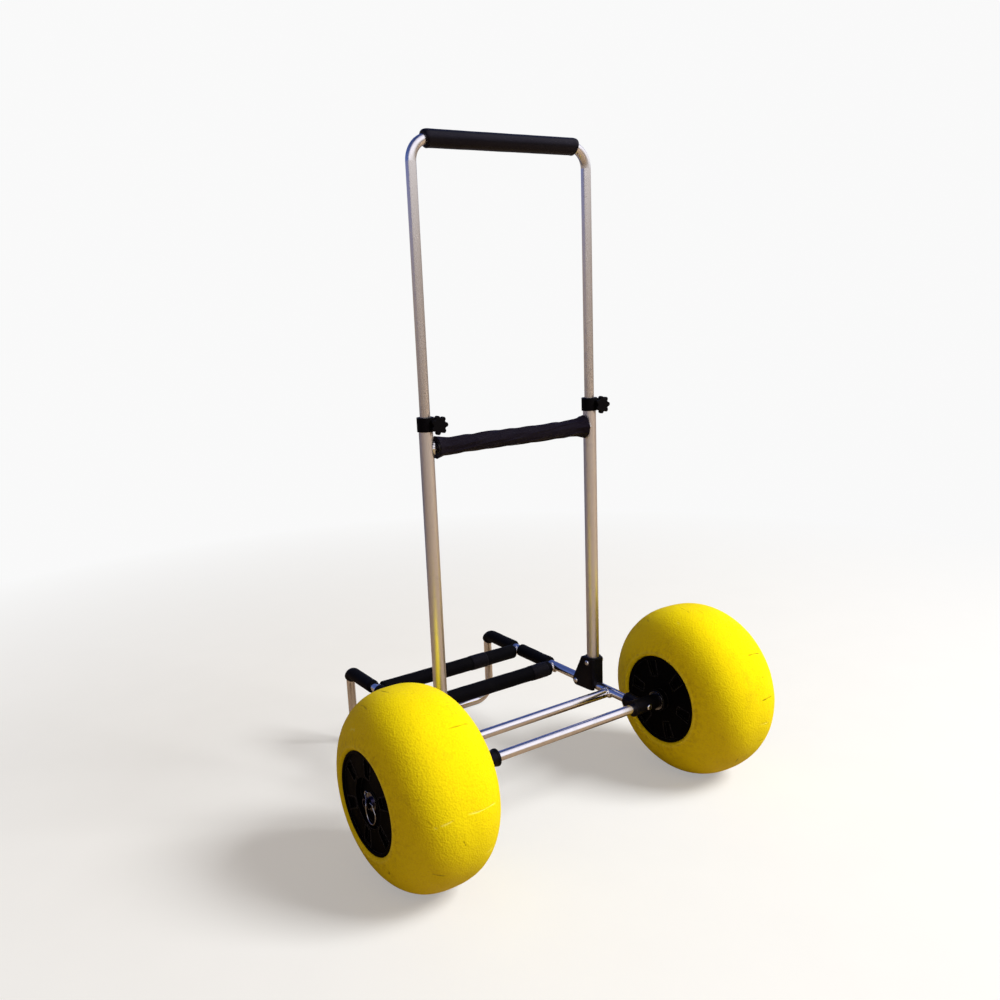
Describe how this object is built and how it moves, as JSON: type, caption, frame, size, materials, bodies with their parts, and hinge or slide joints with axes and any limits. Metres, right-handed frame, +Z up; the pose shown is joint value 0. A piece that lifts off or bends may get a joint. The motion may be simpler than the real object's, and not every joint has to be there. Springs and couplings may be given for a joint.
{
  "type": "beach cart",
  "caption": "Folding aluminium hand cart with fat balloon foam wheels, a foam-padded bed, fold-down uprights and a telescoping U-shaped handle held by collar clamps.",
  "frame": {"origin": "on the ground at the centre of the cart's footprint (its bounding box), in the unfolded state with the handle fully out", "axes": "+X across the cart along the axle, +Y forward towards the front legs, +Z up"},
  "size_m": [0.7488, 0.624, 1.0792],
  "materials": {
    "aluminium_tube": "drawn and lightly polished",
    "tyre_foam": "fine-grained moulded foam",
    "black_plastic": "moulded, satin",
    "bush_plastic": "plain nylon",
    "black_foam": "closed-cell foam skin",
    "band_fabric": "woven hook-and-loop tape",
    "sleeve_fabric": "woven nylon over padding",
    "zinc_steel": "zinc plated"
  },
  "bodies": {
    "base": {"base_tube": "aluminium_tube", "bare_crossbar": "aluminium_tube", "rear_crossbar": "aluminium_tube", "front_crossbar": "aluminium_tube", "axle_tube": "aluminium_tube", "rear_crossbar_foam": "black_foam", "front_crossbar_foam": "black_foam", "rear_wrap_band": "band_fabric", "front_wrap_band": "band_fabric", "rail_middle_foam_left": "black_foam", "rail_middle_foam_right": "black_foam", "rail_front_foam_left": "black_foam", "rail_front_foam_right": "black_foam", "axle_connector_left": "black_plastic", "axle_connector_right": "black_plastic", "connector_screws": "zinc_steel", "thrust_washers": "zinc_steel", "fold_pivot_bolts": "zinc_steel", "fold_pivot_nuts": "zinc_steel"},
    "uprights": {"lower_tube_left": "aluminium_tube", "lower_tube_right": "aluminium_tube", "middle_bar": "aluminium_tube", "middle_bar_sleeve": "sleeve_fabric", "hinge_bracket_left": "black_plastic", "hinge_bracket_right": "black_plastic", "socket_bolts": "zinc_steel", "socket_nuts": "zinc_steel", "collar_clamp_left": "black_plastic", "collar_clamp_right": "black_plastic", "clamp_nuts": "zinc_steel", "guide_bushes": "bush_plastic"},
    "handle": {"handle_tube": "aluminium_tube", "handle_grip": "black_foam", "guide_plugs": "bush_plastic"},
    "clamp_knob_left": {"star_knob_left": "black_plastic", "clamp_screw_left": "zinc_steel"},
    "wheel_left": {"foam_tyre_left": "tyre_foam", "hub_outer_left": "black_plastic", "hub_inner_left": "black_plastic", "axle_bushes_left": "bush_plastic"},
    "pin_left": {"wire_pin_left": "zinc_steel"},
    "clamp_knob_right": {"star_knob_right": "black_plastic", "clamp_screw_right": "zinc_steel"},
    "wheel_right": {"foam_tyre_right": "tyre_foam", "hub_outer_right": "black_plastic", "hub_inner_right": "black_plastic", "axle_bushes_right": "bush_plastic"},
    "pin_right": {"wire_pin_right": "zinc_steel"}
  },
  "joints": [
    {"name": "fold", "type": "hinge", "parent": "base", "child": "uprights", "pos_m": [0, -0.006, 0.15], "axis": [-1, 0, 0], "range_deg": [0, 90]},
    {"name": "handle_slide", "type": "slide", "parent": "uprights", "child": "handle", "axis": [0, 0, -1], "range_m": [0, 0.35]},
    {"name": "wheel_left_spin", "type": "hinge", "parent": "base", "child": "wheel_left", "pos_m": [-0.286, -0.162, 0.15], "axis": [1, 0, 0], "continuous": true},
    {"name": "wheel_right_spin", "type": "hinge", "parent": "base", "child": "wheel_right", "pos_m": [0.286, -0.162, 0.15], "axis": [1, 0, 0], "continuous": true},
    {"name": "clamp_knob_left_turn", "type": "hinge", "parent": "uprights", "child": "clamp_knob_left", "pos_m": [-0.148, -0.038, 0.6568], "axis": [0, -1, 0], "range_deg": [0, 540]},
    {"name": "clamp_knob_right_turn", "type": "hinge", "parent": "uprights", "child": "clamp_knob_right", "pos_m": [0.176, -0.038, 0.6568], "axis": [0, -1, 0], "range_deg": [0, 540]},
    {"name": "wire_pin_left_pull", "type": "slide", "parent": "base", "child": "pin_left", "axis": [0, 0, 1], "range_m": [0, 0.019]},
    {"name": "wire_pin_right_pull", "type": "slide", "parent": "base", "child": "pin_right", "axis": [0, 0, 1], "range_m": [0, 0.019]}
  ]
}
